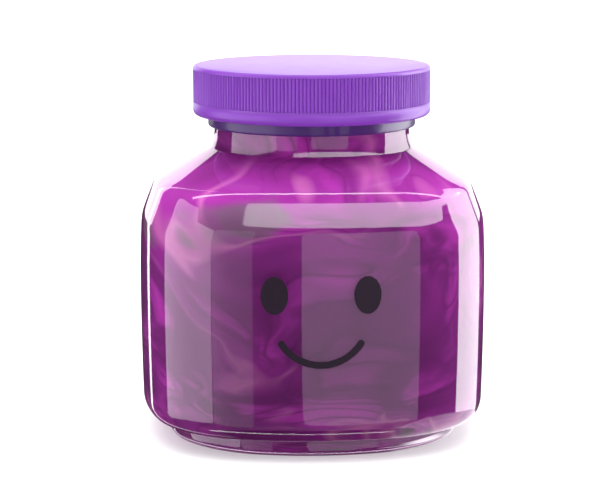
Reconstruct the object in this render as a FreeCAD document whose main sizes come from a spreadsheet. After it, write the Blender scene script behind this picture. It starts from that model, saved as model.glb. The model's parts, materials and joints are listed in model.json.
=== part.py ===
"""Square glass paint jar with a double-walled screw cap.

Z is up, the jar stands on z = 0 with its axis on Z, and its front, which carries the print, faces -Y.
All sizes are millimetres. The driving dimensions are the cells of the sheet called Sizes.
"""
import FreeCAD, Part
import math
import os

import Sketcher
from FreeCAD import Base, Vector

AXIS = Vector(0, 0, 1)
BELLY_STEPS = 4  # straight stretches above and below the widest place
OVERLAP = 1.0  # how far shapes that are joined, or a tool and what it cuts, reach past each other

# alias, value or formula, what it is; a formula uses aliases from the lines above it
SIZES = [
    # neck of the jar and its screw thread, all placed from the rim down
    ("rim_height", 67.3, "height of the sealing rim, the jar's own height"),
    ("jar_thread_radius", 18.85, "crest radius of the thread on the jar"),
    ("thread_depth", 1.25, "height of the thread's crest over the neck"),
    ("thread_pitch", 4.233, "rise for each turn"),
    ("thread_turns", 0.9, "turns of each thread"),
    ("thread_root_width", 1.9, "width of a thread ridge at its root"),
    ("thread_crest_width", 0.8, "width of a thread ridge at its crest"),
    ("thread_margin", 0.64, "from the rim down to the top of the thread"),
    ("thread_clearance", 0.3, "radial gap between a crest and the wall across from it"),
    ("jar_thread_start", "=rim_height - thread_margin - thread_root_width / 2"
     " - thread_pitch * thread_turns", "height of the start of the thread"),
    ("finish_radius", "=jar_thread_radius - thread_depth", "radius of the neck between the turns"),
    ("neck_wall", 2.4, "glass wall of the neck"),
    ("bore_radius", "=finish_radius - neck_wall", "radius of the mouth"),
    ("rim_radius", 0.7, "rounding of the rim"),
    ("collar_radius", "=jar_thread_radius", "radius of the plain collar under the thread"),
    ("collar_gap", 0.15, "gap between the cap's thread and the top of the collar"),
    ("collar_top", "=jar_thread_start - thread_crest_width / 2 - thread_depth - collar_gap",
     "height where the collar starts to narrow to the neck"),
    ("collar_flare", 0.8, "how far the foot of the collar spreads"),
    ("collar_flare_height", 2.2, "height of that spread above the shoulder"),
    ("skirt_lap", 1.3, "how far the inner cap reaches down over the collar"),
    ("inner_skirt_bottom", "=collar_top - skirt_lap", "height of the inner cap's lower edge"),
    # glass jar, foot and body; a half width runs from the axis to the middle of a side
    ("belly_half_width", 33.45, "half width of the body at its widest"),
    ("shoulder_inset", 3.15, "how much less half width the body has at the shoulder's edge"),
    ("shoulder_half_width", "=belly_half_width - shoulder_inset", "half width there"),
    ("shoulder_slope", 28.0, "slope of the upper shoulder, degrees from level"),
    ("collar_show", 3.562, "plain collar that shows between the cap's edge and the shoulder"),
    ("shoulder_height", "=inner_skirt_bottom - collar_show"
     " - (shoulder_half_width - collar_radius) * tan(shoulder_slope * 1 deg)",
     "height of the shoulder's edge"),
    ("shoulder_radius", 3.6, "rounding of the shoulder's edge"),
    ("steep_length", 7.25, "height of the steep shoulder under that edge"),
    ("steep_height", "=shoulder_height - steep_length", "height where the steep shoulder ends"),
    ("steep_inset", 0.35, "how much less half width the body has there"),
    ("steep_half_width", "=belly_half_width - steep_inset", "half width there"),
    ("steep_radius", 9.0, "rounding of that place"),
    ("belly_drop", 12.5, "from that height down to the widest place"),
    ("belly_height", "=steep_height - belly_drop", "height of the widest place"),
    ("heel_inset", 0.45, "how much less half width the body has where its side meets its underside"),
    ("heel_half_width", "=belly_half_width - heel_inset", "half width there"),
    ("heel_radius", 3.5, "rounding between the side and the underside"),
    ("foot_inset", 5.05, "how much less half width the foot has"),
    ("foot_half_width", "=belly_half_width - foot_inset", "half width of the foot"),
    ("foot_top", 3.4, "height of the foot, where the underside of the body starts"),
    ("foot_edge_radius", 1.2, "rounding of the foot's lower edge"),
    ("foot_squareness", 0.62, "0 is a round foot, 1 is as square as the body"),
    ("foot_ring", 6.4, "width of the ring between the recess under the foot and the foot's side"),
    ("pushup_radius", "=foot_half_width - foot_ring", "radius of the domed recess"),
    ("pushup_depth", 1.2, "depth of that recess"),
    ("corner_radius", 19.0, "radius of the body's four upright corners, seen from above"),
    ("side_radius", 70.0, "radius of the slight bulge of the four sides, seen from above"),
    ("wall", 2.4, "glass wall"),
    ("floor_height", "=foot_top + wall", "height of the ledge inside, over the body's underside"),
    ("floor_radius", 3.0, "rounding inside, between wall and ledge"),
    ("well_height", "=pushup_depth + wall", "height of the floor inside the foot"),
    ("well_radius", 1.5, "rounding inside the foot, between its wall and its floor"),
    # cap
    ("seal_gap", 0.03, "gap between the rim and the liner"),
    ("liner_thickness", 0.9, "thickness of the liner"),
    ("liner_play", 0.25, "radial gap round the liner"),
    ("inner_top", 1.1, "thickness of the inner cap's top"),
    ("skirt_wall", 0.9, "wall of the inner cap"),
    ("inner_skirt_radius", "=jar_thread_radius + thread_clearance + skirt_wall",
     "outer radius of the inner cap"),
    ("inner_edge_radius", 0.5, "rounding of that edge"),
    ("shell_top", 1.2, "thickness of the outer shell's top"),
    ("shell_wall", 1.7, "wall of the outer shell"),
    ("cap_gap", 1.2, "gap between the inner cap and the outer shell"),
    ("shell_radius", "=inner_skirt_radius + cap_gap + shell_wall", "outer radius of the shell"),
    ("ring_show", 2.15, "how much of the inner cap shows under the shell"),
    ("shell_bottom", "=inner_skirt_bottom + ring_show", "height of the shell's lower edge"),
    ("shell_edge_radius", 1.1, "rounding of the shell's lower outer edge"),
    ("shell_top_radius", 0.7, "rounding round the shell's top"),
    ("rib_count", 206, "grip ribs round the shell"),
    ("rib_depth", 0.28, "depth of the valleys between the ribs"),
    ("rib_relief", 0.04, "how far a rib's crest lies under the plain edges"),
    ("rib_margin_low", 2.6, "plain edge under the ribs"),
    ("rib_margin_high", 0.75, "plain edge over the ribs"),
    ("web_count", 12, "webs that hold the inner cap in the outer shell"),
    ("web_width", 1.0, "width of a web"),
    ("web_drop", 6.0, "length of a web down from the inner cap's top"),
    # paint and print
    ("paint_gap", 0.05, "gap between the paint and the glass"),
    ("fill_drop", 5.3, "from the rim down to the paint's surface"),
    ("fill_height", "=rim_height - fill_drop", "height of the paint's surface, in the neck"),
    ("print_thickness", 0.05, "thickness of the printed film"),
    ("eye_spacing", 17.0, "distance between the centres of the two printed dots"),
    ("eye_rise", 2.1, "from the widest place up to the dots' centres"),
    ("eye_height", "=belly_height + eye_rise", "height of the dots' centres"),
    ("eye_half_width", 2.5, "half the width of a dot"),
    ("eye_half_height", 3.5, "half the height of a dot"),
    ("smile_drop", 4.3, "from the dots' centres down to the centre of the printed arc"),
    ("smile_height", "=eye_height - smile_drop", "height of that centre"),
    ("smile_radius", 8.6, "radius of the arc"),
    ("smile_width", 1.3, "width of the arc's line"),
    ("smile_angle", 116.0, "degrees that the arc spans"),
]


def make_sheet(doc):
    """The driving dimensions as a spreadsheet, one aliased cell each."""
    sheet = doc.addObject("Spreadsheet::Sheet", "Sizes")
    for row, (alias, value, meaning) in enumerate(SIZES, start=1):
        sheet.set(f"A{row}", alias.replace("_", " "))
        sheet.set(f"B{row}", str(value))
        sheet.set(f"C{row}", meaning)
        sheet.setAlias(f"B{row}", alias)
    doc.recompute()
    return sheet


# ---------------------------------------------------------------- helpers

def origin_plane(body, role):
    """One of a body's own origin planes or axes."""
    return next(item for item in body.Origin.OriginFeatures if item.Role == role)


def new_body(doc, label):
    body = doc.addObject("PartDesign::Body", label)
    body.Label = label
    return body


def bound_sketch(body, name, corners):
    """Closed polygon on the body's XZ plane, each corner's radius and height tied to the sheet.

    corners holds pairs of expressions, (radius, height). The first guess of each place comes from
    the same expressions, so the solver has nothing to move.
    """
    sketch = body.newObject("Sketcher::SketchObject", name)
    sketch.AttachmentSupport = [(origin_plane(body, "XZ_Plane"), "")]
    sketch.MapMode = "FlatFace"
    places = [Vector(sketch.evalExpression(r), sketch.evalExpression(z), 0) for r, z in corners]
    count = len(places)
    for i in range(count):
        sketch.addGeometry(Part.LineSegment(places[i], places[(i + 1) % count]), False)
    for i in range(count):
        sketch.addConstraint(Sketcher.Constraint("Coincident", i, 2, (i + 1) % count, 1))
    for i, (radius, height) in enumerate(corners):
        if radius == "0":
            sketch.addConstraint(Sketcher.Constraint("PointOnObject", i, 1, -2))
        else:
            rule = sketch.addConstraint(Sketcher.Constraint("DistanceX", -1, 1, i, 1, places[i].x))
            sketch.setExpression(f"Constraints[{rule}]", radius)
        rule = sketch.addConstraint(Sketcher.Constraint("DistanceY", -1, 1, i, 1, places[i].y))
        sketch.setExpression(f"Constraints[{rule}]", height)
    return sketch


def turned(body, name, corners):
    """Revolve a bound sketch about Z."""
    sketch = bound_sketch(body, name + "Outline", corners)
    feature = body.newObject("PartDesign::Revolution", name)
    feature.Profile = sketch
    feature.ReferenceAxis = (sketch, ["V_Axis"])
    feature.Angle = 360.0
    body.Document.recompute()
    return feature


def ring_edges(shape, radius, height):
    """Names of the circular edges about Z with this radius and height."""
    names = []
    for i, edge in enumerate(shape.Edges, start=1):
        curve = edge.Curve
        if not isinstance(curve, Part.Circle):
            continue
        if abs(curve.Radius - radius) < 1e-4 and abs(curve.Center.z - height) < 1e-4:
            names.append(f"Edge{i}")
    return names


def rounded(body, name, size, places):
    """Fillet the circular edges at these (radius, height) places; size is an expression."""
    base = body.Tip
    feature = body.newObject("PartDesign::Fillet", name)
    edges = [edge for radius, height in places for edge in ring_edges(base.Shape, radius, height)]
    if len(edges) != len(places):
        raise ValueError(f"{name}: {len(edges)} edges found for {len(places)} places")
    feature.Base = (base, edges)
    feature.Radius = feature.evalExpression(size)
    feature.setExpression("Radius", size)
    body.Document.recompute()
    return feature


def computed(doc, label, shape, placement=None):
    """A piece whose shape comes from Part's own functions."""
    feature = doc.addObject("Part::Feature", label)
    feature.Label = label
    feature.Shape = shape
    feature.Placement = placement or FreeCAD.Placement()
    return feature


def joined(doc, kind, label, base, tool):
    """Part::Cut or Part::Fuse of two objects."""
    feature = doc.addObject(kind, label)
    feature.Label = label
    feature.Base = base
    feature.Tool = tool
    doc.recompute()
    return feature


# ---------------------------------------------------------------- shapes of the jar

def section(sizes, half_width, squareness, height, inset=0.0):
    """Wire of a rounded square: four bulging sides that run smoothly into four corner arcs.

    squareness 1 is the body's own shape and 0 is a circle. A section inset from the glass's outer
    face stays parallel to it.
    """
    outer = half_width + inset
    squareness = max(squareness, 0.02)
    corner_share = sizes.corner_radius / sizes.belly_half_width
    side_share = sizes.side_radius / sizes.belly_half_width
    corner = outer * (1 + squareness * (corner_share - 1)) - inset
    side = outer * (1 + squareness * (side_share - 1)) - inset
    bulge_centre = side - half_width
    reach = side - corner
    centre = (math.sqrt(2 * reach ** 2 - bulge_centre ** 2) - bulge_centre) / 2
    joint_angle = math.atan2(centre, centre + bulge_centre)
    edges = []
    for quarter in range(4):
        turn = Base.Rotation(AXIS, 90.0 * quarter)

        def place(x, y, turn=turn):
            return turn.multVec(Vector(x, y, 0)) + Vector(0, 0, height)

        joint_x = centre + corner * math.cos(joint_angle)
        joint_y = centre + corner * math.sin(joint_angle)
        diagonal = centre + corner * math.sqrt(0.5)
        edges.append(Part.Arc(place(joint_x, -joint_y), place(half_width, 0),
                              place(joint_x, joint_y)).toShape())
        edges.append(Part.Arc(place(joint_x, joint_y), place(diagonal, diagonal),
                              place(joint_y, joint_x)).toShape())
    return Part.Wire(edges)


def side_corners(sizes, inset, bottom, top_half_width):
    """Corners (half width, height) of the jar's side, from inside the neck down to its underside.

    Below the steep shoulder the side bulges: it follows two shallow parabolas that meet at the
    widest place, in short straight stretches. The inset side is parallel to the outer one, and
    bottom is the height where it ends.
    """
    slope = math.tan(math.radians(sizes.shoulder_slope))
    outer = [
        (0.0, sizes.shoulder_height + sizes.shoulder_half_width * slope),
        (sizes.shoulder_half_width, sizes.shoulder_height),
    ]
    widest, widest_height = sizes.belly_half_width, sizes.belly_height
    for half_width, height in ((sizes.steep_half_width, sizes.steep_height),
                               (sizes.heel_half_width, sizes.foot_top)):
        ends = [(widest + (half_width - widest) * (step / BELLY_STEPS) ** 2,
                 widest_height + (height - widest_height) * step / BELLY_STEPS)
                for step in range(1, BELLY_STEPS + 1)]
        outer.extend(ends if height < widest_height else reversed(ends))
    # each line is half width = a + b * height, moved square to itself by the inset
    lines = []
    for (x1, z1), (x2, z2) in zip(outer, outer[1:]):
        lean = (x2 - x1) / (z2 - z1)
        lines.append((x1 - lean * z1 - inset * math.hypot(1, lean), lean))
    start, lean = lines[0]
    corners = [(top_half_width, (top_half_width - start) / lean)]
    for (start_1, lean_1), (start_2, lean_2) in zip(lines, lines[1:]):
        height = (start_2 - start_1) / (lean_1 - lean_2)
        corners.append((start_1 + lean_1 * height, height))
    start, lean = lines[-1]
    corners.append((start + lean * bottom, bottom))
    return corners


def level_edges(shape, height):
    """Edges that lie flat at this height."""
    return [edge for edge in shape.Edges
            if abs(edge.BoundBox.ZMin - height) < 1e-4 and abs(edge.BoundBox.ZMax - height) < 1e-4]


def jar_form(sizes, inset, bottom, bottom_radius, top_half_width):
    """Closed solid of the jar's body, from inside the neck down to its flat underside.

    It is round at the neck and square from the shoulder's edge down.
    """
    corners = side_corners(sizes, inset, bottom, top_half_width)
    wires = [section(sizes, half_width, min(1, step), height, inset)
             for step, (half_width, height) in enumerate(corners)]
    form = Part.makeLoft(wires, True, True)
    for radius, (_, height) in ((sizes.shoulder_radius - inset, corners[1]),
                                (sizes.steep_radius - inset, corners[2]),
                                (bottom_radius, corners[-1])):
        form = form.makeFillet(radius, level_edges(form, height))
    return form


def turned_solid(places):
    """Solid of revolution from (radius, height) places."""
    points = [Vector(radius, 0, height) for radius, height in places]
    face = Part.Face(Part.makePolygon(points + points[:1]))
    return face.revolve(Vector(0, 0, 0), AXIS, 360)


def thread_ridge(sizes, root, crest):
    """One helical ridge with sloping flanks, from z = 0 up; root and crest are its radii."""
    half_root = sizes.thread_root_width / 2
    half_crest = sizes.thread_crest_width / 2
    rise = sizes.thread_pitch * sizes.thread_turns
    helix = Part.makeHelix(sizes.thread_pitch, rise, root)
    outline = Part.makePolygon([
        Vector(root, 0, -half_root),
        Vector(crest, 0, -half_crest),
        Vector(crest, 0, half_crest),
        Vector(root, 0, half_root),
        Vector(root, 0, -half_root),
    ])
    return Part.Wire(helix).makePipeShell([outline], True, True)


def foot_form(sizes):
    """The jar's foot, up into the body, its lower edge rounded."""
    outline = section(sizes, sizes.foot_half_width, sizes.foot_squareness, 0)
    foot = Part.Face(outline).extrude(AXIS * (sizes.foot_top + sizes.foot_edge_radius))
    lower = [edge for edge in foot.Edges if edge.BoundBox.ZMax < 1e-6]
    return foot.makeFillet(sizes.foot_edge_radius, lower)


def neck_form(sizes):
    """Collar, threaded neck and rounded rim, still solid inside."""
    slope = math.tan(math.radians(sizes.shoulder_slope))
    spread = sizes.collar_radius + sizes.collar_flare
    shoulder = sizes.shoulder_height + (sizes.shoulder_half_width - spread) * slope
    neck = turned_solid([
        (0, shoulder - sizes.wall / 2),
        (spread, shoulder - sizes.wall / 2),
        (sizes.collar_radius, shoulder + sizes.collar_flare_height),
        (sizes.collar_radius, sizes.collar_top),
        (sizes.finish_radius, sizes.collar_top + sizes.collar_radius - sizes.finish_radius),
        (sizes.finish_radius, sizes.rim_height),
        (0, sizes.rim_height),
    ])
    neck = neck.makeFillet(sizes.rim_radius, level_edges(neck, sizes.rim_height))
    ridge = thread_ridge(sizes, sizes.finish_radius - sizes.thread_clearance,
                         sizes.jar_thread_radius)
    return neck.fuse(ridge.translated(AXIS * sizes.jar_thread_start))


def inside_form(sizes, gap, top):
    """What the jar holds up to the height top: body, the well in its foot, and its bore.

    gap is the distance from the glass.
    """
    inset = sizes.wall + gap
    body = jar_form(sizes, inset, sizes.floor_height + gap, sizes.floor_radius - gap,
                    sizes.bore_radius - OVERLAP)
    well_bottom = sizes.well_height + gap
    outline = section(sizes, sizes.foot_half_width - inset, sizes.foot_squareness, well_bottom,
                      inset)
    well = Part.Face(outline).extrude(AXIS * (sizes.floor_height + OVERLAP - well_bottom))
    well = well.makeFillet(sizes.well_radius - gap, level_edges(well, well_bottom))
    bore = Part.makeCylinder(sizes.bore_radius - gap, top - sizes.shoulder_height,
                             Vector(0, 0, sizes.shoulder_height))
    return body.fuse([well, bore])


def glass_solid(sizes):
    """The blown glass: foot, body and neck in one, hollow, with a dome pushed up under the foot."""
    body = jar_form(sizes, 0.0, sizes.foot_top, sizes.heel_radius,
                    sizes.collar_radius - OVERLAP)
    outside = body.fuse([foot_form(sizes), neck_form(sizes)])
    inside = inside_form(sizes, 0.0, sizes.rim_height + OVERLAP)
    depth = sizes.pushup_depth
    dome_radius = (sizes.pushup_radius ** 2 + depth ** 2) / (2 * depth)
    dome = Part.makeSphere(dome_radius, Vector(0, 0, depth - dome_radius))
    glass = outside.cut([inside, dome])
    mouth = [edge for edge in level_edges(glass, sizes.rim_height)
             if edge.BoundBox.XLength < 2 * sizes.bore_radius + sizes.rim_radius]
    return glass.makeFillet(sizes.rim_radius, mouth)


# ---------------------------------------------------------------- print on the front

def dot_outline(sizes, side):
    """Upright oval, seen from the front; side is -1 for the left dot and 1 for the right."""
    centre = Vector(side * sizes.eye_spacing / 2, 0, sizes.eye_height)
    top = centre + Vector(0, 0, sizes.eye_half_height)
    flank = centre + Vector(sizes.eye_half_width, 0, 0)
    return Part.Wire([Part.Ellipse(top, flank, centre).toShape()])


def smile_outline(sizes):
    """A plain arc of even width with round ends."""
    half = math.radians(sizes.smile_angle / 2)

    def place(radius, angle):
        return Vector(radius * math.sin(angle), 0, sizes.smile_height - radius * math.cos(angle))

    outer = sizes.smile_radius + sizes.smile_width / 2
    inner = sizes.smile_radius - sizes.smile_width / 2
    tip = half + sizes.smile_width / 2 / sizes.smile_radius
    return Part.Wire([
        Part.Arc(place(outer, -half), place(outer, 0), place(outer, half)).toShape(),
        Part.Arc(place(outer, half), place(sizes.smile_radius, tip), place(inner, half)).toShape(),
        Part.Arc(place(inner, half), place(inner, 0), place(inner, -half)).toShape(),
        Part.Arc(place(inner, -half), place(sizes.smile_radius, -tip),
                 place(outer, -half)).toShape(),
    ])


def printed_film(sizes, outline):
    """Thin film of one colour on the front of the glass, inside this outline."""
    film = sizes.print_thickness
    swollen = jar_form(sizes, -film, sizes.foot_top - film, sizes.heel_radius + film,
                       sizes.collar_radius)
    glass = jar_form(sizes, 0.0, sizes.foot_top, sizes.heel_radius, sizes.collar_radius)
    beam = Part.Face(outline).extrude(Vector(0, -2 * sizes.belly_half_width, 0))
    return beam.common(swollen).cut(glass)


# ---------------------------------------------------------------- cap

def add_liner(doc):
    """Soft disc between the rim and the inner cap."""
    body = new_body(doc, "cap_liner")
    bottom = "Sizes.rim_height + Sizes.seal_gap"
    radius = "Sizes.jar_thread_radius + Sizes.thread_clearance - Sizes.liner_play"
    turned(body, "Liner", [
        ("0", bottom),
        (radius, bottom),
        (radius, bottom + " + Sizes.liner_thickness"),
        ("0", bottom + " + Sizes.liner_thickness"),
    ])
    return body


def add_inner_cap(doc, sizes):
    """The threaded inner cap, whose skirt shows under the outer shell."""
    body = new_body(doc, "InnerCapBlank")
    under = "Sizes.rim_height + Sizes.seal_gap + Sizes.liner_thickness"
    hole = "Sizes.jar_thread_radius + Sizes.thread_clearance"
    turned(body, "InnerCap", [
        ("0", under),
        (hole, under),
        (hole, "Sizes.inner_skirt_bottom"),
        ("Sizes.inner_skirt_radius", "Sizes.inner_skirt_bottom"),
        ("Sizes.inner_skirt_radius", under + " + Sizes.inner_top"),
        ("0", under + " + Sizes.inner_top"),
    ])
    rounded(body, "SkirtEdge", "Sizes.inner_edge_radius",
            [(sizes.inner_skirt_radius, sizes.inner_skirt_bottom)])
    hole_radius = sizes.jar_thread_radius + sizes.thread_clearance
    ridge = thread_ridge(sizes, hole_radius + sizes.thread_clearance,
                         sizes.finish_radius + sizes.thread_clearance)
    # half a turn round from the jar's thread, at its height, it runs in the middle of the groove
    mesh = FreeCAD.Placement(AXIS * sizes.jar_thread_start, Base.Rotation(AXIS, 180))
    thread = computed(doc, "InnerCapThread", ridge, mesh)
    return joined(doc, "Part::Fuse", "cap_inner", body, thread)


def grip_cutter(sizes, shell_top):
    """Ring that leaves the ribbed outline when it is cut from the shell."""
    crest = sizes.shell_radius - sizes.rib_relief
    valley = crest - sizes.rib_depth
    step = 2 * math.pi / sizes.rib_count
    low = sizes.shell_bottom + sizes.rib_margin_low
    high = shell_top - sizes.rib_margin_high

    def place(radius, angle):
        return Vector(radius * math.cos(angle), radius * math.sin(angle), low)

    ribs = []
    for rib in range(int(sizes.rib_count)):
        middle = rib * step
        arc = Part.Arc(place(valley, middle - step / 2), place(crest, middle),
                       place(valley, middle + step / 2))
        ribs.append(arc.toShape())
    ring = Part.Wire([Part.makeCircle(sizes.shell_radius + OVERLAP, Vector(0, 0, low))])
    face = Part.Face([ring, Part.Wire(ribs)])
    face.validate()
    return face.extrude(AXIS * (high - low))


def add_webs(doc, body, sizes):
    """Upright webs inside the shell that grip the inner cap, one drawn and repeated in a ring."""
    sketch = body.newObject("Sketcher::SketchObject", "WebOutline")
    sketch.AttachmentSupport = [(origin_plane(body, "XY_Plane"), "")]
    sketch.MapMode = "FlatFace"
    under = "(Sizes.rim_height + Sizes.seal_gap + Sizes.liner_thickness + Sizes.inner_top)"
    sketch.setExpression("AttachmentOffset.Base.z", under + " - Sizes.web_drop")
    inner = "Sizes.inner_skirt_radius"
    outer = "Sizes.shell_radius - Sizes.shell_wall / 2"
    left = sizes.inner_skirt_radius
    right = sizes.shell_radius - sizes.shell_wall / 2
    half = sizes.web_width / 2
    corners = [Vector(left, -half, 0), Vector(right, -half, 0),
               Vector(right, half, 0), Vector(left, half, 0)]
    for i in range(4):
        sketch.addGeometry(Part.LineSegment(corners[i], corners[(i + 1) % 4]), False)
    for i in range(4):
        sketch.addConstraint(Sketcher.Constraint("Coincident", i, 2, (i + 1) % 4, 1))
    sketch.addConstraint(Sketcher.Constraint("Horizontal", 0))
    sketch.addConstraint(Sketcher.Constraint("Vertical", 1))
    sketch.addConstraint(Sketcher.Constraint("Horizontal", 2))
    sketch.addConstraint(Sketcher.Constraint("Symmetric", 0, 1, 2, 2, -1))
    for corner, distance, value in ((0, inner, left), (1, outer, right)):
        rule = sketch.addConstraint(Sketcher.Constraint("DistanceX", -1, 1, corner, 1, value))
        sketch.setExpression(f"Constraints[{rule}]", distance)
    rule = sketch.addConstraint(Sketcher.Constraint("DistanceY", 0, 1, 2, 2, 2 * half))
    sketch.setExpression(f"Constraints[{rule}]", "Sizes.web_width")
    pad = body.newObject("PartDesign::Pad", "Web")
    pad.Profile = sketch
    pad.Length = sizes.web_drop + sizes.shell_top / 2
    pad.setExpression("Length", "Sizes.web_drop + Sizes.shell_top / 2")
    doc.recompute()
    pattern = body.newObject("PartDesign::PolarPattern", "Webs")
    pattern.Originals = [pad]
    pattern.Axis = (origin_plane(body, "Z_Axis"), [""])
    pattern.Angle = 360.0
    pattern.Occurrences = int(sizes.web_count)
    pattern.setExpression("Occurrences", "Sizes.web_count")
    body.Tip = pattern
    doc.recompute()


def add_shell(doc, sizes):
    """The outer shell, with fine upright grip ribs between two plain edges."""
    body = new_body(doc, "ShellBlank")
    under = "Sizes.rim_height + Sizes.seal_gap + Sizes.liner_thickness + Sizes.inner_top"
    top = under + " + Sizes.shell_top"
    hole = "Sizes.shell_radius - Sizes.shell_wall"
    turned(body, "Shell", [
        ("0", under),
        (hole, under),
        (hole, "Sizes.shell_bottom"),
        ("Sizes.shell_radius", "Sizes.shell_bottom"),
        ("Sizes.shell_radius", top),
        ("0", top),
    ])
    shell_top = body.evalExpression(top)
    rounded(body, "TopEdge", "Sizes.shell_top_radius", [(sizes.shell_radius, shell_top)])
    rounded(body, "LowerEdge", "Sizes.shell_edge_radius", [(sizes.shell_radius, sizes.shell_bottom)])
    add_webs(doc, body, sizes)
    cutter = computed(doc, "GripCutter", grip_cutter(sizes, shell_top))
    return joined(doc, "Part::Cut", "cap_shell", body, cutter)


# ---------------------------------------------------------------- the document

class Sizes:
    """The sheet's cells as plain numbers, by alias."""

    def __init__(self, sheet):
        for alias, _, _ in SIZES:
            setattr(self, alias, float(sheet.get(alias)))


def check(doc, pieces):
    """Every object computed, and every piece a valid solid."""
    for item in doc.Objects:
        if "Invalid" in item.State or "Error" in item.State:
            raise RuntimeError(f"{item.Name} failed: {item.State}")
    for piece in pieces:
        shape = piece.Shape
        if shape.isNull() or not shape.isValid() or len(shape.Solids) != 1:
            raise RuntimeError(f"{piece.Label} is not one valid solid")


def main():
    doc = FreeCAD.newDocument("PaintJar")
    sizes = Sizes(make_sheet(doc))
    pieces = [
        computed(doc, "jar_glass", glass_solid(sizes)),
        computed(doc, "paint", inside_form(sizes, sizes.paint_gap, sizes.fill_height)),
        computed(doc, "print_dot_left", printed_film(sizes, dot_outline(sizes, -1))),
        computed(doc, "print_dot_right", printed_film(sizes, dot_outline(sizes, 1))),
        computed(doc, "print_smile", printed_film(sizes, smile_outline(sizes))),
        add_liner(doc),
        add_inner_cap(doc, sizes),
        add_shell(doc, sizes),
    ]
    doc.recompute()
    check(doc, pieces)
    os.makedirs("parts", exist_ok=True)
    for piece in pieces:
        piece.Shape.exportStep(f"parts/{piece.Label}.step")
        box = piece.Shape.BoundBox
        print(f"{piece.Label:16s} solids {len(piece.Shape.Solids)} volume {piece.Shape.Volume:9.1f} "
              f"z {box.ZMin:6.2f} to {box.ZMax:6.2f} x {box.XMin:6.2f} to {box.XMax:6.2f}")


main()
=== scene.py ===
"""Looks of a squared glass paint jar: wet glass, marbled paint, ribbed screw cap, soft studio."""
import json
from math import atan2, ceil, cos, hypot, pi, radians, sin, sqrt, tan

import bpy
from bpy.props import FloatProperty, FloatVectorProperty
from mathutils import Matrix, Vector

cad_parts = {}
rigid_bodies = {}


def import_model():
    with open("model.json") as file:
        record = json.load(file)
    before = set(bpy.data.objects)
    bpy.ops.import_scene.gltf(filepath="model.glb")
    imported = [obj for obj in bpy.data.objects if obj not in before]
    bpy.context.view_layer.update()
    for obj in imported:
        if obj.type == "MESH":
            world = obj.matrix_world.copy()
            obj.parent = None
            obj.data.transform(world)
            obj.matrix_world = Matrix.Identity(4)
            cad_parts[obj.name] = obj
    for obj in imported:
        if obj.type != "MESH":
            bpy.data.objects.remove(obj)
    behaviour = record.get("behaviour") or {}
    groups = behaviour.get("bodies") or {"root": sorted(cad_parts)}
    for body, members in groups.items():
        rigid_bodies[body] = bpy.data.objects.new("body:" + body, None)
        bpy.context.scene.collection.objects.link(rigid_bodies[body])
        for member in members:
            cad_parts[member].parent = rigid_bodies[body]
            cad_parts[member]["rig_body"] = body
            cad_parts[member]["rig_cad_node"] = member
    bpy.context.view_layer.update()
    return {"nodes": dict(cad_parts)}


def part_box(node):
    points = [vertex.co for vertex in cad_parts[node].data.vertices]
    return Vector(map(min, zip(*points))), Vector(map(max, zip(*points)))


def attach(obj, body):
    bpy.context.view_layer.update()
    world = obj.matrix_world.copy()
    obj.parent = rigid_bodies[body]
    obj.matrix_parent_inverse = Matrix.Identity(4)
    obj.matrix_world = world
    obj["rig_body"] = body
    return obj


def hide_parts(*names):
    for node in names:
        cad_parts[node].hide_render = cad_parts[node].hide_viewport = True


bl_info = {
    "name": "Paint Jar",
    "version": (1, 0, 0),
    "blender": (4, 5, 0),
    "location": "View3D > Sidebar > Paint Jar",
    "description": "Finishes a squared glass paint jar and lights it in a plain studio",
    "category": "Object",
}

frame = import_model()
MM = 0.001
MIDDLE = Vector((0, 0, 0.0339))  # where the camera looks and the panels are centred
CAMERA_SENSOR, CAMERA_SHIFT = 36.0, (-0.0195, 0.002)
FLOOR_SIZE, FLOOR_GLOW = 6.0, 0.38
PANEL_REACH, NEAR_REACH = 0.9, 0.86
PANELS_HIDDEN_FROM = ("camera", "diffuse", "transmission", "volume_scatter", "shadow")
SMILE_RADIUS, SMILE_WIDTH, SMILE_ANGLE = 8.6 * MM, 1.3 * MM, 116
FILM = 0.04 * MM  # thickness of the ink
PAINT_TOP = 62.0  # in millimetres


# ---------------------------------------------------------------- sizes and colours to change

def colour(name, description, default):
    return FloatVectorProperty(name=name, description=description, default=default,
                               subtype="COLOR", size=3, min=0.0, max=1.0)


def length(name, description, default):
    return FloatProperty(name=name, description=description, default=default, unit="LENGTH",
                         precision=5)


def number(name, description, default):
    return FloatProperty(name=name, description=description, default=default)


def angle(name, description, degrees):
    return FloatProperty(name=name, description=description, default=radians(degrees),
                         subtype="ANGLE")


class JarSettings(bpy.types.PropertyGroup):
    """The glass and its print."""
    glass_tint: colour("Glass tint", "Colour that the glass lets through", (0.94, 0.66, 0.92))
    glass_ior: number("Glass index", "How strongly the glass bends light", 1.5)
    ink: colour("Ink", "Colour of the print on the front", (0.012, 0.006, 0.014))
    ink_lift: length("Ink lift", "How far the print stands off the glass", 0.03 * MM)


class PaintSettings(bpy.types.PropertyGroup):
    """The marbled paint."""
    wetting: length("Wetting", "How far the paint reaches into the glass, so that it looks wet",
                    0.05 * MM)
    base: colour("Base", "Main colour of the paint", (0.44, 0.055, 0.42))
    deep: colour("Deep", "Dark streaks", (0.24, 0.035, 0.23))
    bright: colour("Bright", "Magenta streaks", (0.68, 0.085, 0.62))
    pink: colour("Pink", "Thin rosy veins", (0.80, 0.34, 0.60))
    smoke: colour("Smoke", "Grey-green wisps", (0.22, 0.20, 0.21))
    swirl_size: length("Swirl size", "Width of the broad swirls", 42 * MM)


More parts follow.
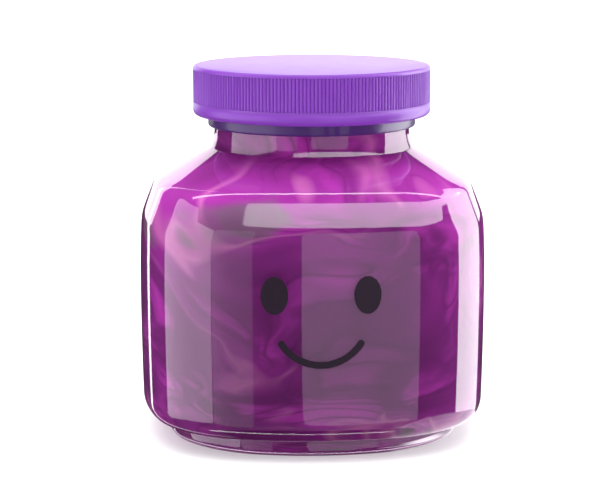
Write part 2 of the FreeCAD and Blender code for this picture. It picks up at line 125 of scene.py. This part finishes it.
class CapSettings(bpy.types.PropertyGroup):
    """The double cap and its liner."""
    outer: colour("Outer cap", "Colour of the ribbed outer cap", (0.205, 0.038, 0.44))
    inner: colour("Inner cap", "Colour of the inner cap", (0.062, 0.014, 0.15))
    liner: colour("Liner", "Colour of the liner disc", (0.86, 0.86, 0.83))


class StudioSettings(bpy.types.PropertyGroup):
    """Camera, floor and lights."""
    camera_turn: angle("Camera turn", "Place of the camera round the jar", -3.0)
    camera_rise: angle("Camera rise", "Height of the camera over the horizon", 9.9)
    camera_distance: length("Camera distance", "From the camera to the jar's axis", 0.4308)
    camera_lens: number("Lens", "Focal length in millimetres", 132.0)
    floor: colour("Floor", "Colour of the floor", (0.62, 0.62, 0.62))


# ---------------------------------------------------------------- shader maths

class Wave:
    """A number that changes over a surface. Python's operators add the Math nodes."""

    def __init__(self, finish, socket):
        self.finish = finish
        self.socket = socket

    def _math(self, operation, *values, clamp=False):
        settings = {"operation": operation, "use_clamp": clamp}
        return self.finish.add("ShaderNodeMath", settings, *values)

    def __add__(self, other):
        return self._math("ADD", self, other)

    def __radd__(self, other):
        return self._math("ADD", other, self)

    def __sub__(self, other):
        return self._math("SUBTRACT", self, other)

    def __rsub__(self, other):
        return self._math("SUBTRACT", other, self)

    def __mul__(self, other):
        return self._math("MULTIPLY", self, other)

    def __rmul__(self, other):
        return self._math("MULTIPLY", other, self)

    def __pow__(self, other):
        return self._math("POWER", self, other)

    def __abs__(self):
        return self._math("ABSOLUTE", self)

    def clamped(self):
        return self._math("ADD", self, 0.0, clamp=True)

    def step(self, low, high):
        """0 below low, 1 above high, with a smooth rise between them."""
        return self.finish.add("ShaderNodeMapRange", {"interpolation_type": "SMOOTHSTEP"},
                               self, low, high, 0.0, 1.0)

    def stripes(self, count):
        """Runs from 0 up to 1 and back, count times as the value grows by 1."""
        return self._math("PINGPONG", self * count, 0.5) * 2.0


class Finish:
    """A node tree, of a new material or of the world, and a short way to add nodes."""

    def __init__(self, owner):
        self.material = bpy.data.materials.new(owner) if isinstance(owner, str) else owner
        self.material.use_nodes = True
        self.tree = self.material.node_tree
        self.shader = self.tree.nodes.get("Principled BSDF")

    def node(self, kind, settings, *values, **named):
        """A node with its settings made first, then its sockets by place and by name."""
        node = self.tree.nodes.new(kind)
        for key, value in settings.items():
            setattr(node, key, value)
        sockets = list(enumerate(values)) + [(key.replace("_", " "), value)
                                             for key, value in named.items()]
        for key, value in sockets:
            if isinstance(value, Wave):
                self.tree.links.new(value.socket, node.inputs[key])
            elif value is not None:
                node.inputs[key].default_value = value
        return node

    def add(self, kind, settings, *values, output=0, **named):
        return Wave(self, self.node(kind, settings, *values, **named).outputs[output])

    def place(self, scale=(1, 1, 1), turn=(0, 0, 0)):
        """Object coordinates in metres, turned and scaled."""
        place = self.add("ShaderNodeTexCoord", {}, output="Object")
        return self.add("ShaderNodeMapping", {"vector_type": "TEXTURE"}, Vector=place,
                        Rotation=turn, Scale=scale)

    def parts(self, where):
        """The X, Y and Z of a place."""
        node = self.node("ShaderNodeSeparateXYZ", {}, where)
        return [Wave(self, node.outputs[axis]) for axis in "XYZ"]

    def grey(self, value):
        return self.add("ShaderNodeCombineXYZ", {}, value, value, value)

    def noise(self, where, scale, detail=3.0, roughness=0.5, output="Fac"):
        return self.add("ShaderNodeTexNoise", {}, output=output, Vector=where, Scale=scale,
                        Detail=detail, Roughness=roughness)

    def mix(self, share, first, second, blend="MIX"):
        """Colour between two colours; each is a Wave or three numbers."""
        node = self.node("ShaderNodeMix", {"data_type": "RGBA", "blend_type": blend}, share)
        for place, value in ((6, first), (7, second)):  # sockets of the two colours
            if isinstance(value, Wave):
                self.tree.links.new(value.socket, node.inputs[place])
            else:
                node.inputs[place].default_value = (*value, 1.0)
        return Wave(self, node.outputs[2])

    def shift(self, where, offset, amount):
        """A place moved by a colour field centred on grey."""
        centred = self.add("ShaderNodeVectorMath", {"operation": "SUBTRACT"}, offset,
                           (0.5, 0.5, 0.5))
        push = self.add("ShaderNodeVectorMath", {"operation": "SCALE"}, centred, Scale=amount)
        return self.add("ShaderNodeVectorMath", {"operation": "ADD"}, where, push)

    def bump(self, height, strength, distance):
        bump = self.add("ShaderNodeBump", {}, Height=height, Strength=strength, Distance=distance)
        self.tree.links.new(bump.socket, self.shader.inputs["Normal"])

    def set(self, **sockets):
        """Fixed values and links of the shader's own sockets."""
        for key, value in sockets.items():
            socket = self.shader.inputs[key.replace("_", " ")]
            if isinstance(value, Wave):
                self.tree.links.new(value.socket, socket)
            elif isinstance(value, tuple):
                socket.default_value = (*value, 1.0)
            else:
                socket.default_value = value


def dress(piece, finish):
    """Give a piece this one finish."""
    piece.data.materials.clear()
    piece.data.materials.append(finish.material)


# ---------------------------------------------------------------- finishes

def glass_finish(settings):
    finish = Finish("Clear glass")
    finish.set(Base_Color=tuple(settings.glass_tint), Roughness=0.0, IOR=settings.glass_ior,
               Transmission_Weight=1.0)
    return finish


def paint_finish(settings):
    """Marbled paint: stirred noise gives broad swirls, and fine lines follow the same flow.

    It is painted lighter at the shoulder as if lit from above, at the sides as if lit from beside,
    and in the foot to lift the shade there.
    """
    finish = Finish("Marbled paint")
    size = settings.swirl_size
    where = finish.place(scale=(size, size, size * 0.62), turn=(0.35, -0.2, 0.6))
    warp = finish.noise(where, 0.8, detail=1.5, output="Color")
    stirred = finish.shift(where, warp, 2.4)
    warp = finish.noise(stirred, 1.0, detail=2.0, output="Color")
    swirled = finish.shift(stirred, warp, 1.6)
    broad = finish.noise(swirled, 0.8, detail=2.0, roughness=0.45)
    fine = finish.noise(swirled, 1.9, detail=3.0, roughness=0.55)
    vein = finish.noise(swirled, 1.1, detail=1.5, roughness=0.4)
    flow = finish.noise(swirled, 0.55, detail=1.0)
    wisp = finish.noise(swirled, 0.7, detail=3.0, roughness=0.55)
    across, _, height = finish.parts(finish.place(scale=(MM, MM, MM)))

    body = finish.mix(broad.step(0.34, 0.60), tuple(settings.deep), tuple(settings.base))
    body = finish.mix(fine.step(0.48, 0.72) * 0.8, body, tuple(settings.bright))
    strokes = flow.stripes(24.0) ** 4.0
    body = finish.mix(strokes * fine.step(0.38, 0.60) * 0.7, body,
                      tuple(0.7 * part for part in settings.deep))
    ridge = (1.0 - abs(vein - 0.5) * 30.0).clamped()
    body = finish.mix(ridge * broad.step(0.40, 0.58) * 0.65, body, tuple(settings.pink))
    high = height.step(34.0, 40.0) * (1.0 - height.step(45.0, 50.0))
    gather = (across * -1.0).step(-4.0, 16.0) * high
    body = finish.mix((wisp + 0.17 * gather).step(0.57, 0.66) * 0.8, body, tuple(settings.smoke))

    # Painted light, not the paint's own colour: the colour is made lighter at the shoulder as if
    # lit from above, at the sides as if lit from beside, and in the foot to lift its shade.
    painted_top_light = 0.56 + 0.12 * height.step(8.0, 36.0) + 0.74 * height.step(40.0, 51.0)
    painted_side_light = 1.0 + 0.7 * abs(across).step(15.0, 32.0)
    foot = 1.9 - 0.9 * height.step(4.0, 7.0)
    lit = finish.mix(1.0, body, finish.grey(painted_top_light * painted_side_light * foot), blend="MULTIPLY")
    finish.set(Base_Color=lit, Roughness=0.35 + 0.15 * fine, Specular_IOR_Level=0.1)
    return finish


def plastic_finish(name, tint, roughness, coat):
    """Moulded plastic with a faint mottle in its gloss."""
    finish = Finish(name)
    where = finish.place(scale=(MM, MM, MM))
    mottle = finish.noise(where, 0.35, detail=4.0)
    shade = finish.mix(mottle, tuple(0.93 * part for part in tint), tuple(tint))
    finish.set(Base_Color=shade, Roughness=roughness + 0.06 * mottle, Coat_Weight=coat,
               Coat_Roughness=0.06, Specular_IOR_Level=0.28)
    grain = finish.noise(where, 6.0, detail=2.0)
    finish.bump(grain, 0.03, 0.02 * MM)
    return finish


def foam_finish(tint):
    finish = Finish("Liner foam")
    where = finish.place(scale=(MM, MM, MM))
    cells = finish.add("ShaderNodeTexVoronoi", {}, output="Distance", Vector=where, Scale=3.0)
    shade = finish.mix(cells.step(0.1, 0.6), tuple(0.86 * part for part in tint), tuple(tint))
    finish.set(Base_Color=shade, Roughness=0.75)
    finish.bump(cells, 0.3, 0.04 * MM)
    return finish


def ink_finish(tint):
    finish = Finish("Print ink")
    where = finish.place(scale=(MM, MM, MM))
    grain = finish.noise(where, 1.4, detail=5.0)
    shade = finish.mix(grain, tuple(tint), tuple(min(1.0, 1.8 * part) for part in tint))
    finish.set(Base_Color=shade, Roughness=0.34 + 0.14 * grain, Specular_IOR_Level=0.12)
    finish.bump(finish.noise(where, 9.0), 0.05, 0.01 * MM)
    return finish


# ---------------------------------------------------------------- modelling helpers

def deselect():
    bpy.ops.object.select_all(action="DESELECT")


def refined_copy(node, name, body):
    """A merged, smooth copy of a CAD node that stands for it."""
    deselect()
    source = frame["nodes"][node]
    piece = source.copy()
    piece.data = source.data.copy()
    piece.name = name
    piece.data.name = name
    bpy.context.scene.collection.objects.link(piece)
    piece.parent = None
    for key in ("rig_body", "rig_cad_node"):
        if key in piece:
            del piece[key]
    piece.select_set(True)
    bpy.context.view_layer.objects.active = piece
    bpy.ops.object.mode_set(mode="EDIT")
    bpy.ops.mesh.select_all(action="SELECT")
    bpy.ops.mesh.remove_doubles(threshold=0.0005 * MM)
    bpy.ops.object.mode_set(mode="OBJECT")
    bpy.ops.object.shade_smooth_by_angle(angle=radians(24))
    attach(piece, body)
    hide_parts(node)
    return piece


# ---------------------------------------------------------------- the jar's form, in millimetres

BELLY, CORNER, SIDE = 33.45, 19.0, 70.0  # half width, corner and side radii, seen from above
WALL, LEDGE, WELL = 2.4, 5.8, 3.6
COLLAR, NECK, BORE, RIM = 18.85, 17.6, 15.2, 67.3
COLLAR_TOP, FLARE, FLARE_HEIGHT, FLARE_RADIUS = 60.1, 0.8, 2.2, 6.0
FOOT, FOOT_TOP, FOOT_SQUARENESS, FOOT_EDGE = 28.4, 3.4, 0.62, 1.2
PUSH_UP, PUSH_UP_DEPTH = 22.0, 1.2  # recess under the foot
SHOULDER_RADIUS, STEEP_RADIUS, HEEL_RADIUS = 3.6, 9.0, 3.5
MOUTH_RADIUS, LEDGE_RADIUS, WELL_RADIUS, RIM_RADIUS, CREASE = 1.5, 3.0, 1.5, 0.7, 0.3
PITCH, TURNS, THREAD_START, THREAD_DEPTH = 4.233, 0.9, 61.9, 1.25
THREAD_FOOT, THREAD_FLANK, THREAD_RUN_IN = 0.86, 0.46, 0.03
THREAD_ROWS = 30
SPOKES, RING_GAP, ROUNDING_STEP = 192, 1.6, radians(7)
BULGE_FROM, BULGE_TO = 7.2, 40.2  # heights between which the bulge is clear of roundings
LEDGE_CLEARANCE = 3.2  # height over the ledge from which the bulge is clear of its rounding
SEAM = RIM - 5  # height in the bore where the outside's path hands over to the inside's


def bulge(start, end, steps=10):
    """Corners on a shallow parabola that starts upright at the widest place."""
    return [(start[0] + (end[0] - start[0]) * (step / steps) ** 2,
             start[1] + (end[1] - start[1]) * step / steps) for step in range(1, steps + 1)]


SHOULDER_SLOPE, SHOULDER_START = 0.53171, 17.85  # rise over run, and half width at its top
SHOULDER, STEEP, WIDEST, HEEL = (30.3, 49.15), (33.1, 41.9), (BELLY, 29.4), (33.0, FOOT_TOP)
SIDE_LINE = [(SHOULDER_START, SHOULDER[1] + (SHOULDER[0] - SHOULDER_START) * SHOULDER_SLOPE),
             SHOULDER, *reversed(bulge(WIDEST, STEEP)), WIDEST, *bulge(WIDEST, HEEL)]


def side_line(inset):
    """The side's corners from the neck down, moved in square to themselves."""
    lines = []
    for (x1, z1), (x2, z2) in zip(SIDE_LINE, SIDE_LINE[1:]):
        lean = (x2 - x1) / (z2 - z1)
        lines.append((x1 - lean * z1 - inset * hypot(1, lean), lean))
    corners = []
    for (start_1, lean_1), (start_2, lean_2) in zip(lines, lines[1:]):
        height = (start_2 - start_1) / (lean_1 - lean_2)
        corners.append((start_1 + lean_1 * height, height))
    return lines, corners


def walk(corners):
    """Path along corners (half width, height, squareness, rounding), with its roundings drawn."""
    path = [corners[0][:3]]

    def run_to(spot):
        last = path[-1]
        gap = hypot(spot[0] - last[0], spot[1] - last[1])
        count = max(1, ceil(gap / RING_GAP))
        for step in range(1, count + 1):
            path.append(tuple(a + (b - a) * step / count for a, b in zip(last, spot)))

    for before, here, after in zip(corners, corners[1:], corners[2:]):
        if not here[3]:
            run_to(here[:3])
            continue
        spot = Vector(here[:2])
        back, on = Vector(before[:2]) - spot, Vector(after[:2]) - spot
        half = back.angle(on) / 2
        reach = here[3] / tan(half)
        ends = [spot + way.normalized() * reach for way in (back, on)]
        squares = [here[2] + (end[2] - here[2]) * reach / way.length
                   for end, way in ((before, back), (after, on))]
        centre = spot + (back.normalized() + on.normalized()).normalized() * here[3] / sin(half)
        run_to((*ends[0], squares[0]))
        sweep = pi - 2 * half
        steps = max(3, ceil(sweep / ROUNDING_STEP))
        first = ends[0] - centre
        way = 1 if back.x * on.y - back.y * on.x < 0 else -1
        for step in range(1, steps + 1):
            share = step / steps
            arm = first.copy()
            arm.rotate(Matrix.Rotation(way * sweep * share, 2))
            path.append((*(centre + arm), squares[0] + (squares[1] - squares[0]) * share))
    run_to(corners[-1][:3])
    return path


def outside_path():
    """From the middle of the recess under the foot up to the rim."""
    _, side = side_line(0.0)
    dome = [(PUSH_UP * step / 8, PUSH_UP_DEPTH * (1 - (step / 8) ** 2), 0.0, 0.0)
            for step in range(8)]
    top_z = SHOULDER[1] + (SHOULDER[0] - COLLAR - FLARE) * SHOULDER_SLOPE
    corners = dome + [(PUSH_UP, 0.0, 0.0, CREASE), (FOOT, 0.0, FOOT_SQUARENESS, FOOT_EDGE),
                      (FOOT, FOOT_TOP, FOOT_SQUARENESS, 0.25), (*HEEL, 1.0, HEEL_RADIUS)]
    corners += [(*spot, 1.0, 0.0) for spot in reversed(side[2:])
                if BULGE_FROM < spot[1] < BULGE_TO]
    corners += [(*side[1], 1.0, STEEP_RADIUS), (*side[0], 1.0, SHOULDER_RADIUS),
                (COLLAR + FLARE, top_z, 0.0, 0.5),
                (COLLAR, top_z + FLARE_HEIGHT, 0.0, FLARE_RADIUS),
                (COLLAR, COLLAR_TOP, 0.0, CREASE), (NECK, COLLAR_TOP + COLLAR - NECK, 0.0, CREASE),
                (NECK, RIM, 0.0, RIM_RADIUS)]
    return corners


def inside_path(inset, top=None):
    """From the bore, or from the middle of a surface at height top, down to the floor's middle."""
    lines, side = side_line(inset)
    start, lean = lines[0]
    bore = BORE + WALL - inset
    mouth = [(bore, (bore - start) / lean, 0.0, MOUTH_RADIUS)]
    start, lean = lines[-1]
    ledge = LEDGE + inset - WALL
    well = WELL + inset - WALL
    foot = FOOT - inset
    corners = mouth + [(*side[0], 1.0, SHOULDER_RADIUS - inset),
                       (*side[1], 1.0, STEEP_RADIUS - inset)]
    corners += [(*spot, 1.0, 0.0) for spot in side[2:]
                if ledge + LEDGE_CLEARANCE < spot[1] < BULGE_TO]
    corners += [(start + lean * ledge, ledge, 1.0, LEDGE_RADIUS),
                (foot, ledge, FOOT_SQUARENESS, CREASE), (foot, well, FOOT_SQUARENESS, WELL_RADIUS),
                (0.0, well, FOOT_SQUARENESS, 0.0)]
    if top is not None:
        corners = [(0.0, top, 0.0, 0.0), (bore, top, 0.0, 0.1)] + corners
    return corners


def reach_of(angle, half, square, inset):
    """Distance from the axis to a rounded square of this half width, in this direction."""
    turn = abs((angle + pi / 4) % (pi / 2) - pi / 4)
    outer = half + inset
    square = max(square, 0.02)
    corner = outer * (1 + square * (CORNER / BELLY - 1)) - inset
    side = outer * (1 + square * (SIDE / BELLY - 1)) - inset
    centre_gap, span = side - half, side - corner
    centre = (sqrt(max(0.0, 2 * span ** 2 - centre_gap ** 2)) - centre_gap) / 2
    out = Vector((cos(turn), sin(turn)))

    def meet(x, y, radius):
        along = out.x * x + out.y * y
        return along + sqrt(max(0.0, along ** 2 - x ** 2 - y ** 2 + radius ** 2))

    on_side = meet(-centre_gap, 0, side)
    joint = atan2(centre, centre + centre_gap)
    if atan2(on_side * out.y, on_side * out.x + centre_gap) <= joint:
        return on_side
    return meet(centre, centre, corner)


def thread_ridge(angle, height):
    """How far the thread stands off the neck here."""
    turn = (angle / (2 * pi)) % 1.0
    run_in = min(1.0, turn / THREAD_RUN_IN, (TURNS - turn) / THREAD_RUN_IN)
    if run_in <= 0:
        return 0.0
    off = abs(height - THREAD_START - PITCH * turn)
    return THREAD_DEPTH * run_in * min(1.0, max(0.0, (THREAD_FOOT - off) / THREAD_FLANK))


def skin(name, path, inset_of):
    """A closed skin of rings along a path: a flat grid rolled round the axis and sewn up."""
    deselect()
    rings = len(path)
    bpy.ops.mesh.primitive_grid_add(x_subdivisions=SPOKES, y_subdivisions=rings - 1, size=2.0)
    piece = bpy.context.active_object
    piece.name = piece.data.name = name
    for vertex in piece.data.vertices:
        angle = vertex.co.x * pi
        ring = round((vertex.co.y + 1) / 2 * (rings - 1))
        half, height, square = path[ring]
        reach = reach_of(angle, half, square, inset_of(ring)) if half > 1e-6 else 0.0
        if inset_of(ring) == 0 and abs(half - NECK) < 0.001:
            reach += thread_ridge(angle, height)
        vertex.co = Vector((reach * cos(angle), reach * sin(angle), height)) * MM
    bpy.ops.object.mode_set(mode="EDIT")
    bpy.ops.mesh.select_all(action="SELECT")
    bpy.ops.mesh.remove_doubles(threshold=0.001 * MM)
    bpy.ops.mesh.normals_make_consistent(inside=False)
    bpy.ops.object.mode_set(mode="OBJECT")
    bpy.ops.object.shade_smooth_by_angle(angle=radians(38))
    return piece


# ---------------------------------------------------------------- operators

class JAR_OT_glass(bpy.types.Operator):
    """The whole glass as one closed skin: outside, screw thread, rim and inside"""
    bl_idname = "jar.glass"
    bl_label = "Blow glass"

    def execute(self, context):
        outside = walk(outside_path() + [(BORE, RIM, 0.0, RIM_RADIUS), (BORE, SEAM, 0.0, 0.0)])
        on_neck = [abs(spot[0] - NECK) < 0.001 for spot in outside]
        outside = [spot for place, spot in enumerate(outside)
                   if place == 0 or not (on_neck[place] and on_neck[place - 1])]
        neck_foot = max(place for place, spot in enumerate(outside)
                        if abs(spot[0] - NECK) < 0.001 and spot[1] < RIM - 0.1)
        low, high = outside[neck_foot][1], RIM - RIM_RADIUS
        rows = [(NECK, low + (high - low) * step / THREAD_ROWS, 0.0)
                for step in range(1, THREAD_ROWS)]
        outside[neck_foot + 1:neck_foot + 1] = rows
        inside = walk([(BORE, SEAM, 0.0, 0.0)] + inside_path(WALL))[1:]
        count = len(outside)
        glass = skin("glass_jar", outside + inside, lambda ring: 0.0 if ring < count else WALL)
        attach(glass, "jar")
        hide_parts("jar_glass")
        dress(glass, glass_finish(context.scene.jar_settings))
        return {"FINISHED"}


class JAR_OT_print(bpy.types.Operator):
    """The plain print on the front: two dots and an arc"""
    bl_idname = "jar.print"
    bl_label = "Print front"

    def execute(self, context):
        settings = context.scene.jar_settings
        ink = ink_finish(tuple(settings.ink))
        for mark, shape in (("dot_left", self.oval), ("dot_right", self.oval),
                            ("smile", self.arc)):
            low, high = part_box(f"print_{mark}")
            piece = shape(Vector(low), Vector(high))
            piece.name = piece.data.name = f"ink_{mark}"
            self.lay_on_glass(piece, settings.ink_lift)
            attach(piece, "jar")
            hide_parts(f"print_{mark}")
            dress(piece, ink)
        return {"FINISHED"}

    @staticmethod
    def oval(low, high):
        """A finely ringed upright disc in front of the glass."""
        deselect()
        middle = (low + high) / 2
        bpy.ops.mesh.primitive_circle_add(vertices=72, radius=1.0, fill_type="NGON",
                                          rotation=(pi / 2, 0, 0),
                                          location=(middle.x, low.y - MM, middle.z))
        piece = bpy.context.active_object
        piece.scale = ((high.x - low.x) / 2, (high.z - low.z) / 2, 1)
        bpy.ops.object.transform_apply(location=True, rotation=True, scale=True)
        bpy.ops.object.mode_set(mode="EDIT")
        bpy.ops.mesh.select_all(action="SELECT")
        for _ in range(5):
            bpy.ops.mesh.inset(thickness=(high.x - low.x) / 14)
        bpy.ops.mesh.poke()
        bpy.ops.object.mode_set(mode="OBJECT")
        return piece

    @staticmethod
    def arc(low, high):
        """A ribbon bent round a centre above it, with round ends."""
        deselect()
        span = radians(SMILE_ANGLE)
        bpy.ops.mesh.primitive_grid_add(x_subdivisions=64, y_subdivisions=6, size=1.0)
        piece = bpy.context.active_object
        half_width = SMILE_WIDTH / 2
        radius = SMILE_RADIUS
        tip = half_width / radius
        for vertex in piece.data.vertices:
            along = vertex.co.x * (span + 2 * tip)
            past = max(0.0, abs(along) - span / 2) / tip
            width = half_width * (1 - min(past, 1.0) ** 2) ** 0.5
            reach = radius + 2 * vertex.co.y * width
            vertex.co = (reach * sin(along), low.y - MM, low.z + radius + half_width
                         - reach * cos(along))
        bpy.ops.object.mode_set(mode="EDIT")
        bpy.ops.mesh.select_all(action="SELECT")
        bpy.ops.mesh.remove_doubles(threshold=0.002 * MM)
        bpy.ops.mesh.normals_make_consistent(inside=False)
        bpy.ops.object.mode_set(mode="OBJECT")
        return piece

    @staticmethod
    def lay_on_glass(piece, lift):
        """Press a flat shape onto the front of the glass and give it its thickness."""
        deselect()
        piece.select_set(True)
        bpy.context.view_layer.objects.active = piece
        press = piece.modifiers.new("Press", "SHRINKWRAP")
        press.target = frame["nodes"]["jar_glass"]
        press.wrap_method = "PROJECT"
        press.use_project_y = True
        press.use_positive_direction = True
        press.use_negative_direction = False
        press.offset = lift
        bpy.ops.object.modifier_apply(modifier="Press")
        film = piece.modifiers.new("Film", "SOLIDIFY")
        film.thickness = FILM
        film.offset = 1.0
        bpy.ops.object.modifier_apply(modifier="Film")
        bpy.ops.object.mode_set(mode="EDIT")
        bpy.ops.mesh.select_all(action="SELECT")
        bpy.ops.mesh.normals_make_consistent(inside=False)
        bpy.ops.object.mode_set(mode="OBJECT")
        bpy.ops.object.shade_smooth_by_angle(angle=radians(40))


class JAR_OT_paint(bpy.types.Operator):
    """Marbled paint that wets the glass"""
    bl_idname = "jar.paint"
    bl_label = "Pour paint"

    def execute(self, context):
        settings = context.scene.paint_settings
        inset = WALL - settings.wetting / MM
        path = walk(inside_path(inset, top=PAINT_TOP))
        piece = skin("marbled_paint", path, lambda ring: inset)
        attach(piece, "jar")
        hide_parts("paint")
        dress(piece, paint_finish(settings))
        return {"FINISHED"}


class JAR_OT_cap(bpy.types.Operator):
    """Ribbed outer cap, threaded inner cap and liner"""
    bl_idname = "jar.cap"
    bl_label = "Finish cap"

    def execute(self, context):
        settings = context.scene.cap_settings
        outer = refined_copy("cap_shell", "ribbed_cap", "cap")
        dress(outer, plastic_finish("Outer cap plastic", tuple(settings.outer), 0.34, 0.05))
        inner = refined_copy("cap_inner", "threaded_cap", "cap")
        dress(inner, plastic_finish("Inner cap plastic", tuple(settings.inner), 0.30, 0.1))
        liner = refined_copy("cap_liner", "liner_disc", "liner")
        dress(liner, foam_finish(tuple(settings.liner)))
        return {"FINISHED"}


def heading(turn, rise):
    """Direction from the jar, turn round from the front towards the right and rise up."""
    return Vector((sin(turn) * cos(rise), -cos(turn) * cos(rise), sin(rise)))


def soft_panel(name, turns, rises, glow, far_glow=None, squareness=12.0, droop=0.0,
               reach=PANEL_REACH):
    """A curved white panel round the jar that only gloss sees, with rounded corners.

    turns and rises are the directions, in degrees, between which it spans. Its glow changes from
    glow at the first turn to far_glow at the second, where it is also lower by droop degrees. The
    drop grows with the square of the way along.
    """
    deselect()
    bpy.ops.mesh.primitive_grid_add(x_subdivisions=24, y_subdivisions=12, size=1.0)
    panel = bpy.context.active_object
    panel.name = name
    for vertex in panel.data.vertices:
        turn = radians(turns[0] + (turns[1] - turns[0]) * (vertex.co.x + 0.5))
        rise = radians(rises[0] + (rises[1] - rises[0]) * (vertex.co.y + 0.5)
                       - droop * (vertex.co.x + 0.5) ** 2)
        vertex.co = heading(turn, rise) * reach + MIDDLE
    glow_softly(panel, glow, far_glow, squareness)


def flat_panel(name, place, size, glow, far_glow, squareness):
    """A level white panel that only gloss sees."""
    deselect()
    bpy.ops.mesh.primitive_plane_add(size=1.0, location=place)
    panel = bpy.context.active_object
    panel.name = name
    panel.scale = (*size, 1.0)
    bpy.ops.object.transform_apply(location=False, rotation=False, scale=True)
    glow_softly(panel, glow, far_glow, squareness)


def glow_softly(panel, glow, far_glow, squareness):
    """Glow that fades at a panel's edge, seen only by gloss."""
    finish = Finish(panel.name)
    across, up, _ = finish.parts(finish.add("ShaderNodeUVMap", {}))
    size = abs(across * 2.0 - 1.0) ** squareness + abs(up * 2.0 - 1.0) ** squareness
    lit = 1.0 - size.step(0.75, 1.0)
    change = (glow if far_glow is None else far_glow) - glow
    finish.set(Base_Color=(0.0, 0.0, 0.0), Specular_IOR_Level=0.0, Alpha=lit,
               Emission_Color=finish.grey(lit * (glow + change * across)), Emission_Strength=1.0)
    dress(panel, finish)
    for sight in PANELS_HIDDEN_FROM:
        setattr(panel, f"visible_{sight}", False)


class JAR_OT_stage(bpy.types.Operator):
    """Camera, floor, white surroundings and soft lights"""
    bl_idname = "jar.stage"
    bl_label = "Set stage"

    def execute(self, context):
        settings = context.scene.studio_settings
        scene = context.scene
        away = heading(settings.camera_turn, settings.camera_rise)
        camera_data = bpy.data.cameras.new("Camera")
        camera_data.lens = settings.camera_lens
        camera_data.sensor_width = CAMERA_SENSOR
        camera_data.shift_x, camera_data.shift_y = CAMERA_SHIFT
        camera = bpy.data.objects.new("Camera", camera_data)
        scene.collection.objects.link(camera)
        camera.location = MIDDLE + away * settings.camera_distance
        camera.rotation_euler = away.to_track_quat("Z", "Y").to_euler()
        scene.camera = camera

        deselect()
        bpy.ops.mesh.primitive_plane_add(size=FLOOR_SIZE, location=(0, 0, 0))
        floor = context.active_object
        floor.name = "floor"
        floor_finish = Finish("Floor")
        floor_finish.set(Base_Color=tuple(settings.floor), Roughness=0.9,
                         Emission_Color=(1.0, 1.0, 1.0), Emission_Strength=FLOOR_GLOW)
        dress(floor, floor_finish)
        floor.visible_glossy = False

        self.surroundings(scene)
        soft_panel("Front softbox", (-3.5, 39.5), (-21, 25), 1.5)
        soft_panel("Left softbox", (-110, -43), (-25, 29), 3.4)
        soft_panel("Left fill", (-43, -19), (-25, 29), 1.5, 0.7)
        soft_panel("Brow light", (-26, 132), (31.0, 39.5), 5.5, 8.5, 12.0, 13.5, NEAR_REACH)
        soft_panel("Right wall", (91, 143), (-56, 42), 9.5, 2.8)
        soft_panel("Left strip", (-154, -150.5), (-70, 60), 3.2)
        soft_panel("Heel strip", (-80, 100), (-62, -57.5), 9.0)
        soft_panel("Backdrop", (146, 214), (-4, 24), 2.3, 2.3, 8.0)
        flat_panel("Edge strip", (0.0, 0.11, 0.65), (1.5, 0.09), 11.0, 11.0, 6.0)
        flat_panel("Foot card", (0.032, -0.024, 0.1 * MM), (0.040, 0.046), 0.8, 3.4, 2.0)
        scene.view_settings.view_transform = "Standard"
        return {"FINISHED"}

    @staticmethod
    def surroundings(scene):
        """White behind the jar, brighter above and beside it, dimmer in front, dark for gloss."""
        world = bpy.data.worlds.new("Studio")
        scene.world = world
        finish = Finish(world)
        path = finish.node("ShaderNodeLightPath", {})
        seen, glossy, through = (Wave(finish, path.outputs[f"Is {kind} Ray"])
                                 for kind in ("Camera", "Glossy", "Transmission"))
        gloss = glossy * (1.0 - through)
        across, ahead, up = finish.parts(finish.add("ShaderNodeTexCoord", {}, output="Generated"))
        soft = (0.20 + 0.75 * ahead.step(-0.4, 0.4) + 0.60 * abs(across).step(0.5, 1.0)
                + 3.6 * up.step(0.5, 1.0))
        strength = seen + (1.0 - seen) * (gloss * 0.03 + (1.0 - gloss) * soft)
        background = world.node_tree.nodes["Background"]
        background.inputs["Color"].default_value = (1, 1, 1, 1)
        world.node_tree.links.new(strength.socket, background.inputs["Strength"])


class JAR_PT_panel(bpy.types.Panel):
    """The jar's steps in the 3D view's sidebar"""
    bl_idname = "JAR_PT_panel"
    bl_label = "Paint Jar"
    bl_space_type = "VIEW_3D"
    bl_region_type = "UI"
    bl_category = "Paint Jar"

    def draw(self, context):
        for group, steps in SIDEBAR.items():
            settings = getattr(context.scene, group)
            box = self.layout.box()
            for name in settings.__annotations__:
                box.prop(settings, name)
            for step in steps:
                box.operator(step)


SIDEBAR = {
    "jar_settings": ("jar.glass", "jar.print"),
    "paint_settings": ("jar.paint",),
    "cap_settings": ("jar.cap",),
    "studio_settings": ("jar.stage",),
}
GROUPS = {
    "jar_settings": JarSettings,
    "paint_settings": PaintSettings,
    "cap_settings": CapSettings,
    "studio_settings": StudioSettings,
}
CLASSES = (*GROUPS.values(), JAR_OT_glass, JAR_OT_print, JAR_OT_paint, JAR_OT_cap, JAR_OT_stage,
           JAR_PT_panel)


def register():
    for cls in CLASSES:
        bpy.utils.register_class(cls)
    for name, group in GROUPS.items():
        setattr(bpy.types.Scene, name, bpy.props.PointerProperty(type=group))


def unregister():
    for name in GROUPS:
        delattr(bpy.types.Scene, name)
    for cls in reversed(CLASSES):
        bpy.utils.unregister_class(cls)


def main():
    register()
    bpy.ops.jar.stage()
    bpy.ops.jar.glass()
    bpy.ops.jar.print()
    bpy.ops.jar.paint()
    bpy.ops.jar.cap()


if __name__ == "__main__":
    main()
